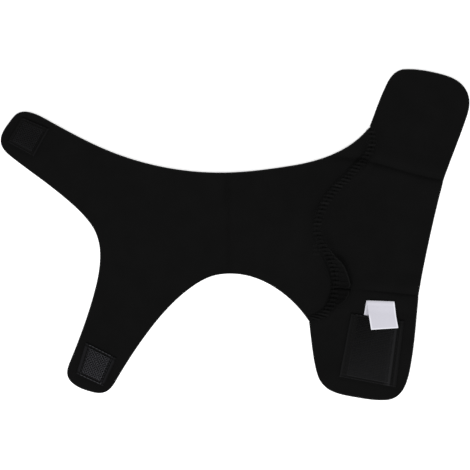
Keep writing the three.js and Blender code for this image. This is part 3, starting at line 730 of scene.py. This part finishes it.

# Distances from the left selvedge in millimetres: ribs are raised cords of the weave (middle, half width,
# shine), the grooves are the two lines of sewing (middle, depth), and the hooks stand between the two
# limits of field, a pitch apart. They turn up and down by columns, and lean is 1 where they also turn
# sideways, over the closed cells of the net. open is the depth of the gaps in the net, plain the tone of
# the weave beside the hooks, end the depth of the sewing across the ends, taper the width over which the
# left and the right selvedge thin, brightening the tone of the hooks and of the weave at the four corners,
# lower ones first, and
# streak how the tone changes from column to column and row to row.
HOOK_TAPES = [
    {"node": "instep_hook_upper", "side": -1,
     "ribs": [(0.8, 0.8, 0), (21, 0.7, 0.35)], "grooves": [(1.6, 0.05), (19, 0.35)],
     "field": (2.8, 17.8), "pitch": (1.04, 1.0), "lean": 1,
     "open": 0.35, "plain": 0.05, "end": 0.15, "taper": (2.6, 0.7),
     "brightening": ((1, 1), (0.85, 0.8)), "streak": (2.3, 1.7),
     "hook": "#1f1f20", "weave": "#131314", "edge": "#161617", "stitch": "#121213"},
    # This tape's hooks, weave and stitches are painted brighter than the other tapes', a painted highlight
    # where it catches more light
    {"node": "instep_hook_lower", "side": -1,
     "ribs": [(1.3, 1.3, 0.65), (21.7, 0.9, 0.6)], "grooves": [(3.1, 0.45), (20.4, 0.5)],
     "field": (3.7, 19.6), "pitch": (1.04, 1.0), "lean": 1,
     "open": 1, "plain": 0.1, "end": 0.45, "taper": (0.7, 1.6),
     "brightening": ((1, 1), (0.85, 0.85)), "streak": (2.3, 1.7),
     "hook": "#4c4c50", "weave": "#1c1c1f", "edge": "#161618", "stitch": "#38383b"},
    {"node": "ankle_hook", "side": 1,
     "ribs": [(0.8, 0.8, 0.25), (33, 1.7, 0.4), (34.8, 0.9, 0.7), (38.7, 0.8, 0.12)],
     "grooves": [(3.3, 0.12), (36.8, 0.3)],
     "field": (5, 34), "pitch": (0.705, 1.2), "lean": 0,
     "open": 0.1, "plain": 0.15, "end": 0.15, "taper": (0.7, 1.6),
     "brightening": ((0.95, 1.2), (0, 0.7)), "streak": (2.3, 0),
     "hook": "#252526", "weave": "#171718", "edge": "#1c1c1d", "stitch": "#161617"},
]


def tape_plan(corners, across, up):
    """Places on a tape: across and up are shares of its width and length between its four corners."""
    lower_right, upper_right, upper_left, lower_left = np.array(corners, float)
    across, up = across[..., None], up[..., None]
    foot = (1 - across) * lower_left + across * lower_right
    head = (1 - across) * upper_left + across * upper_right
    return (1 - up) * foot + up * head


def band(distance, at, half):
    """Flat-topped band of unit height, centred at a distance and as wide as twice half."""
    return np.exp(-((distance - at) / half) ** 4)


def corner_tone(tape, across, up):
    """Tone of a place on a tape, ruled between the tones at its corners. across and up are shares of its
    sides."""
    (lower_left, lower_right), (upper_left, upper_right) = tape["brightening"]
    lower = lower_left + (lower_right - lower_left) * across
    upper = upper_left + (upper_right - upper_left) * across
    return lower + (upper - lower) * up


for tape, corners in zip(HOOK_TAPES, TAPE_CORNERS):
    node, side = tape["node"], tape["side"]
    corner = np.array(corners, float)
    width = np.linalg.norm(corner[0] + corner[1] - corner[2] - corner[3]) / 2
    length = np.linalg.norm(corner[1] + corner[2] - corner[0] - corner[3]) / 2
    field_left, field_right = tape["field"]
    column_pitch, row_pitch = tape["pitch"]

    # Woven nylon tape: plain weave, bright in the net between the feet of the hooks and on the cords of the
    # selvedges. The weave is drawn at 0.7 mm, twice its real spacing, so that it shows.
    weave_scale = bands(WEAVE)
    woven = new_material(node + "_woven_nylon")
    where = add_node(woven, "ShaderNodeUVMap", uv_map="weave").outputs["UV"]
    warp = add_node(woven, "ShaderNodeTexWave", {"Vector": where, "Scale": weave_scale}, bands_direction="X")
    weft = add_node(woven, "ShaderNodeTexWave", {"Vector": where, "Scale": weave_scale}, bands_direction="Y")
    weave = add_node(woven, "ShaderNodeMath", {0: warp.outputs["Fac"], 1: weft.outputs["Fac"]},
                     operation="MULTIPLY")
    net = add_node(woven, "ShaderNodeAttribute", attribute_name="net")
    shine = add_node(woven, "ShaderNodeAttribute", attribute_name="shine")
    # The net tone carries painted shade, darker in the sewn grooves
    ground = add_node(woven, "ShaderNodeMix", {
        "Factor": net.outputs["Fac"], "A": linear("#080808"), "B": linear(tape["weave"])}, data_type="RGBA")
    tone = add_node(woven, "ShaderNodeMix", {
        "Factor": shine.outputs["Fac"], "A": ground.outputs["Result"], "B": linear(tape["edge"])},
        data_type="RGBA")
    finish_surface(woven, tone, {"Roughness": 0.6, "Specular IOR Level": 0.04},
                   weave.outputs[0], strength=0.6, depth=0.12)

    # Backing: raised cords, sewn grooves, pressed ends, and fine ribs with gaps in a net under the hooks
    across = np.linspace(0, width, int(COLUMN_STEPS * width / column_pitch) + 1)
    up = np.linspace(0, length, int(length / BACKING_STEP) + 1)
    across, up = np.meshgrid(across, up, indexing="ij")
    plan = tape_plan(corners, across / width, up / length).reshape(-1, 2)
    from_end = np.minimum(up, length - up)
    field = ease(across, field_left - FIELD_EASE, field_left + FIELD_EASE)
    field = field * (1 - ease(across, field_right - FIELD_EASE, field_right + FIELD_EASE))
    field = field * ease(from_end, *FIELD_END)
    raised = sum((CORD_LEAST + gloss) * band(across, at, half) for at, half, gloss in tape["ribs"])
    shining = sum(gloss * band(across, at, half) for at, half, gloss in tape["ribs"])
    sunk = sum(depth * band(across, at, SEWN_HALF) for at, depth in tape["grooves"])
    sunk = np.maximum(sunk, tape["end"] * band(from_end, END_GROOVE, SEWN_HALF))
    tape_tone = corner_tone(tape, across / width, up / length)
    gap = np.sin(np.pi * across / column_pitch) * np.sin(np.pi * up / row_pitch)
    gap = tape["open"] * field * ease(gap, 0, GAP_EASE)
    # Tone of the weave, painted darker in the sewn grooves as painted shade
    netted = tape_tone * (field - gap + tape["plain"] * (1 - field) * (1 - GROOVE_SHADE * sunk))
    fine = field * np.cos(2 * np.pi * across / column_pitch)
    taper_left, taper_right = tape["taper"]
    whole = ease(across, 0, taper_left) * ease(width - across, 0, taper_right) * ease(from_end, 0, END_TAPER)
    rise = CORD_RISE * np.minimum(raised, 1) - sunk
    rise = rise + FINE_RISE * fine - GAP_DEPTH * gap - THINNED * (1 - whole)
    rest = inside_face(*plan.T, side) + TAPE_REST
    top = np.column_stack([plan, rest + TAPE_THICK + rise.ravel()])
    bottom = np.column_stack([plan, rest])
    grid = np.arange(across.size).reshape(across.shape)
    loop = border(grid.T)
    points, faces, _ = closed_sheet(top, bottom, [grid], loop, np.full((2, len(loop)), TAPE_RIM))
    # Shine of the selvedge cords, dimmed in the sewn grooves by painted shade
    shining = np.clip(shining * (1 - GROOVE_SHADE * sunk) * (1 + tape_tone) / 2, 0, 1)
    marks = np.column_stack([across.ravel(), up.ravel(), netted.ravel(), shining.ravel()])
    marks = np.concatenate([marks, marks, np.tile(marks[loop], (2, 1))])
    backing = add_piece(node + "_backing", points, faces, [woven], uv=marks[:, :2],
                        attributes={"net": marks[:, 2], "shine": marks[:, 3]})
    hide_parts(node)

    # Cut hooks of nylon monofilament: each curl catches the light above the dark weave, brighter by the tones
    # given at the corners of its tape, and painted brighter on the lower strap's tape as a painted highlight.
    # The wire is drawn at 0.4 mm, twice its real thickness, so that the hooks show.
    wire = new_material(node + "_nylon_monofilament")
    brighten = add_node(wire, "ShaderNodeAttribute", attribute_name="brightening")
    tone = add_node(wire, "ShaderNodeMix", {
        "Factor": brighten.outputs["Fac"], "A": linear("#0a0a0a"), "B": linear(tape["hook"])}, data_type="RGBA")
    finish_surface(wire, tone, {"Roughness": 0.45, "Specular IOR Level": 0.08})
    column, row = np.meshgrid(np.arange(int(width / column_pitch)), np.arange(int(length / row_pitch)),
                              indexing="ij")
    stand_x, stand_y = (column + 1) * column_pitch, (row + 1) * row_pitch
    hooked = (stand_x > field_left) & (stand_x < field_right)
    hooked = hooked & (stand_y > END_PLAIN) & (stand_y < length - END_PLAIN)
    column, row, stand_x, stand_y = column[hooked], row[hooked], stand_x[hooked], stand_y[hooked]
    turned = np.where(column % 2, 1, -1)
    sideways = tape["lean"] * np.where((column + row) % 2, 1, -1)
    foot = tape_plan(corners, stand_x / width, stand_y / length)
    ahead = tape_plan(corners, (stand_x + sideways) / width, (stand_y + 1) / length) - foot
    ahead *= (turned / np.linalg.norm(ahead, axis=1))[:, None]
    bend = np.radians(HOOK_BEND)
    forward = np.where(bend < 0, 0, HOOK_CURL * (1 - np.cos(bend))) - HOOK_CURL / 2
    upward = np.where(bend < 0, 0, HOOK_HEIGHT - HOOK_CURL + HOOK_CURL * np.sin(bend))
    base = inside_face(*foot.T, side) + TAPE_REST + TAPE_THICK - HOOK_SINK
    path = np.concatenate([foot[:, None] + forward[None, :, None] * ahead[:, None],
                           (base[:, None] + upward)[..., None]], -1)
    square = np.stack([-ahead[:, 1], ahead[:, 0], 0 * turned], 1)
    points, faces = tubes(path, HOOK_RADIUS, HOOK_SIDES, up=square[:, None])
    streak_x, streak_y = tape["streak"]
    hook_tone = corner_tone(tape, stand_x / width, stand_y / length)
    hook_tone = hook_tone * (1 - DULL * np.exp((field_left - stand_x) / DULL_WIDTH))
    hook_tone = hook_tone * (1 - STREAK + STREAK * np.sin(streak_x * column + streak_y * row))
    hooks = add_piece(node + "_hooks", points, faces, [wire],
                      attributes={"brightening": np.repeat(hook_tone, len(bend) * HOOK_SIDES)})

    # Lockstitch round the tape, in bonded thread: each stitch dips into the weave at its two ends. It is
    # painted bright across the ends of the tape, a painted highlight, and painted dark in the grooves along
    # the sides, as painted shade.
    bonded = new_material(node + "_bonded_thread")
    brighten = add_node(bonded, "ShaderNodeAttribute", attribute_name="brightening")
    tone = add_node(bonded, "ShaderNodeMix", {
        "Factor": brighten.outputs["Fac"], "A": linear("#0b0b0b"), "B": linear(tape["stitch"])}, data_type="RGBA")
    finish_surface(bonded, tone, {"Roughness": 0.6, "Specular IOR Level": 0.06})
    left, right = (at / width for at, depth in tape["grooves"])
    end = END_STITCH / length
    sewn_line = tape_plan(corners, np.array([left, right, right, left, left]),
                          np.array([end, end, 1 - end, 1 - end, end]))
    sewn_run = run_of(sewn_line)
    starts = np.arange(int(sewn_run[-1] / STITCH)) * STITCH
    steps = np.linspace(0, 1, STITCH_STEPS)
    stitch_run = (starts[:, None] + steps * (STITCH - STITCH_GAP)) / sewn_run[-1]
    place = along(sewn_line, stitch_run.ravel())
    height = inside_face(*place.T, side) + TAPE_REST + TAPE_THICK
    at_end = (starts < sewn_run[1]) | ((starts > sewn_run[2]) & (starts < sewn_run[3]))
    arch = STITCH_ARCH * np.sin(np.pi * steps) - np.where(at_end, END_SINK, SIDE_SINK)[:, None]
    path = np.column_stack([place, height + arch.ravel()]).reshape(len(starts), STITCH_STEPS, 3)
    points, faces = tubes(path, STITCH_RADIUS, THREAD_SIDES)
    # Painted highlight on the stitches across the ends, painted shade on those in the side grooves
    stitch_light_and_shade = np.where(at_end, 1, SIDE_SHADE_TONE)
    stitches = add_piece(node + "_stitches", points, faces, [bonded],
                         attributes={"brightening": np.repeat(stitch_light_and_shade, STITCH_STEPS * THREAD_SIDES)})

# Care label
# A blank white woven ribbon, folded once. Its end is caught under the top edge of the large hook tape, and
# the other half lies loose over the hooks.
LABEL_THICK, LABEL_WIDTH, HEM = 0.28, 20.2, 1.2
LABEL_ROWS, LABEL_COLUMNS = 75, 49

# Ribbon by its two edges (x, y), its height over the panel, and the run of ribbon from the sewn end
LABEL_LEFT = [(92.3, -60.8), (93, -57.3), (94.5, -48.1), (94.6, -47.3), (94.8, -48.1), (96.2, -57.6),
              (97.9, -68.4)]
LABEL_RIGHT = [(112.5, -63.9), (113.2, -60.3), (114.4, -48.9), (114.6, -48.1), (114.7, -48.9), (115.9, -58.8),
               (117.4, -67.1)]
LABEL_REST = [0.17, 0.2, 0.5, 1.2, 1.9, 2.55, 2.75]
LABEL_RUN = [0, 3.6, 13.4, 14.6, 15.8, 25.6, 37]
FOLD = 14.6

# The ribbon keeps its turn this near the fold and eases off over LABEL_SLACK rows elsewhere. Its loose half
# lifts from LOOSE_FROM on: at its right edge, at its left edge, and in a ripple between them.
FOLD_KEEPS, LABEL_SLACK = 3, 19
SMOOTHING = np.array([1, 2, 3, 2, 1]) / 9
LOOSE_FROM, LIFT_RIGHT, LIFT_LEFT = 16, 0.5, 0.25
RIPPLE, RIPPLE_TURN, RIPPLE_START = 0.12, 5, 1

# A hem is fully bright over the outer HEM_BRIGHT of its width. The left one shows only near the loose end.
# The half underneath lies in painted shade: its hems are painted half as bright, and the shade ends a little
# before the fold.
HEM_BRIGHT, LEFT_HEM_SHOWS, HEM_IN_SHADE = 0.4, (24, 28), 0.5
SHADE_UNDER_ENDS = (FOLD - 2, FOLD - 1)
RIB = 0.6

along_label = np.linspace(0, 1, LABEL_ROWS) * LABEL_RUN[-1]
across_label = np.linspace(0, 1, LABEL_COLUMNS)
left, right = (at_runs(along_label, LABEL_RUN, np.array(edge)) for edge in (LABEL_LEFT, LABEL_RIGHT))
plan = left[:, None] * (1 - across_label[:, None]) + right[:, None] * across_label[:, None]
rest = np.interp(along_label, LABEL_RUN, LABEL_REST)
eased = np.convolve(np.pad(rest, LABEL_SLACK // 2, mode="edge"), np.ones(LABEL_SLACK) / LABEL_SLACK, "valid")
rest = np.where(np.abs(along_label - FOLD) < FOLD_KEEPS, rest, eased)
rest = np.convolve(np.pad(rest, len(SMOOTHING) // 2, mode="edge"), SMOOTHING, "valid")
loose = ease(along_label, LOOSE_FROM, LABEL_RUN[-1])[:, None]
lift = LIFT_RIGHT * across_label ** 3 + LIFT_LEFT * (1 - across_label) ** 4
lift = loose * (lift + RIPPLE * np.sin(RIPPLE_TURN * across_label + RIPPLE_START))
height = lie(*np.moveaxis(plan, -1, 0)) + LAMINATE + rest[:, None] + lift
middle = np.concatenate([plan, height[..., None]], -1)
normal = np.cross(np.gradient(middle, axis=1), np.gradient(middle, axis=0))
normal /= np.linalg.norm(normal, axis=2)[..., None]
grid = np.arange(plan[..., 0].size).reshape(plan.shape[:2])
outer_face = (middle + LABEL_THICK / 2 * normal).reshape(-1, 3)
inner_face = (middle - LABEL_THICK / 2 * normal).reshape(-1, 3)
loop = border(grid)
points, faces, _ = closed_sheet(outer_face, inner_face, [grid.T], loop, np.zeros((1, len(loop))))
run, across = np.meshgrid(along_label, across_label * LABEL_WIDTH, indexing="ij")
from_side = np.minimum(across, LABEL_WIDTH - across)
from_hem = np.minimum(from_side, np.minimum(LABEL_RUN[-1] - run, np.abs(run - FOLD)))
hemmed = 1 - ease(from_hem, HEM_BRIGHT * HEM, HEM)
hemmed *= np.where((across < HEM) & (run > FOLD), ease(run, *LEFT_HEM_SHOWS), 1)
# Hems of the half underneath are painted half as bright, as painted shade
hemmed *= np.where(run < FOLD - HEM, HEM_IN_SHADE, 1)
# Painted shade over the half underneath, ending a little before the fold
shade_underneath = 1 - ease(run, *SHADE_UNDER_ENDS)
marks = np.column_stack([run.ravel(), across.ravel(), hemmed.ravel(), shade_underneath.ravel()])
marks = np.concatenate([marks, marks, marks[loop]])

# Woven ribbon: bluish white, satin, with close ribs across it, brighter hems where it is sealed and folded,
# and painted greyer on the half underneath, as painted shade. The ribs are drawn at 0.6 mm, twice their real
# spacing, so that they show.
ribbon = new_material("white_woven_ribbon")
where = add_node(ribbon, "ShaderNodeUVMap", uv_map="weave").outputs["UV"]
ribs = add_node(ribbon, "ShaderNodeTexWave", {"Vector": where, "Scale": bands(RIB)}, bands_direction="X")
hem = add_node(ribbon, "ShaderNodeAttribute", attribute_name="hem")
shade_under = add_node(ribbon, "ShaderNodeAttribute", attribute_name="shade_under")
face = add_node(ribbon, "ShaderNodeMix", {
    "Factor": ribs.outputs["Fac"], "A": linear("#aeadb6"), "B": linear("#b7b6be")}, data_type="RGBA")
# Painted shade: the half underneath is painted greyer
ground = add_node(ribbon, "ShaderNodeMix", {
    "Factor": shade_under.outputs["Fac"], "A": face.outputs["Result"], "B": linear("#a9a8b0")}, data_type="RGBA")
tone = add_node(ribbon, "ShaderNodeMix", {
    "Factor": hem.outputs["Fac"], "A": ground.outputs["Result"], "B": linear("#cfcfd6")}, data_type="RGBA")
finish_surface(ribbon, tone, {"Roughness": 0.6, "Specular IOR Level": 0.3},
               ribs.outputs["Fac"], strength=0.3, depth=0.05)
label = add_piece("care_label_ribbon", points, faces, [ribbon], uv=marks[:, :2],
                  attributes={"hem": marks[:, 2], "shade_under": marks[:, 3]})
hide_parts("care_label")

# Studio
# A pale opal acrylic table, lit a little from under it so that no shadow is left round the edges, below a
# soft overhead key and an even white surround. It is seen from straight above.
FLOOR_HALF, FLOOR_DROP, FLOOR_GLOW = 3000, 0.3, 0.4
CLOUDING = 3
acrylic = new_material("opal_acrylic")
where = add_node(acrylic, "ShaderNodeTexCoord").outputs["Object"]
clouding = add_node(acrylic, "ShaderNodeTexNoise", {
    "Vector": where, "Scale": 1 / (CLOUDING * MM), "Detail": 2})
tone = add_node(acrylic, "ShaderNodeMix", {
    "Factor": clouding.outputs["Fac"], "A": linear("#f4f4f4"), "B": linear("#f8f8f8")}, data_type="RGBA")
finish_surface(acrylic, tone, {
    "Roughness": 0.9, "Specular IOR Level": 0.1,
    "Emission Color": (1, 1, 1, 1), "Emission Strength": FLOOR_GLOW})
floor_points = FLOOR_HALF * np.array([(-1, -1, 0), (1, -1, 0), (1, 1, 0), (-1, 1, 0)]) - (0, 0, FLOOR_DROP)
mesh = bpy.data.meshes.new("floor")
mesh.from_pydata((floor_points * MM).tolist(), [], [(0, 1, 2, 3)])
mesh.materials.append(acrylic)
floor = bpy.data.objects.new("floor", mesh)
bpy.context.collection.objects.link(floor)

SURROUND = 0.85
world = bpy.data.worlds.new("studio")
world.use_nodes = True
world.node_tree.nodes["Background"].inputs["Color"].default_value = (1, 1, 1, 1)
world.node_tree.nodes["Background"].inputs["Strength"].default_value = SURROUND
bpy.context.scene.world = world

# Softbox in metres and watts, beyond the lower edge of the picture and a little to its left
KEY_SIZE, KEY_POWER = (1.6, 1.3), 54
KEY_PLACE, KEY_TILT, KEY_TURN = (-0.4, -1.6, 2.1), 36.8, -10.8
key = bpy.data.lights.new("softbox", "AREA")
key.shape = "RECTANGLE"
key.size, key.size_y = KEY_SIZE
key.energy = KEY_POWER
key_light = bpy.data.objects.new("softbox", key)
key_light.location = KEY_PLACE
key_light.rotation_euler = (np.radians(KEY_TILT), np.radians(KEY_TURN), 0)
bpy.context.collection.objects.link(key_light)

# Straight down from 1.6 m. The 470 pixels of the picture span 338.4 mm of the inside face.
PICTURE_WIDTH, DISTANCE = 338.4, 1600
PICTURE_MIDDLE = (0.07, -0.29)
camera = bpy.data.cameras.new("camera")
camera.sensor_width = 36
camera.lens = camera.sensor_width * DISTANCE / PICTURE_WIDTH
camera_object = bpy.data.objects.new("camera", camera)
camera_object.location = np.array((*PICTURE_MIDDLE, DISTANCE + LAMINATE)) * MM
bpy.context.collection.objects.link(camera_object)
bpy.context.scene.camera = camera_object
bpy.context.scene.view_settings.view_transform = "Standard"
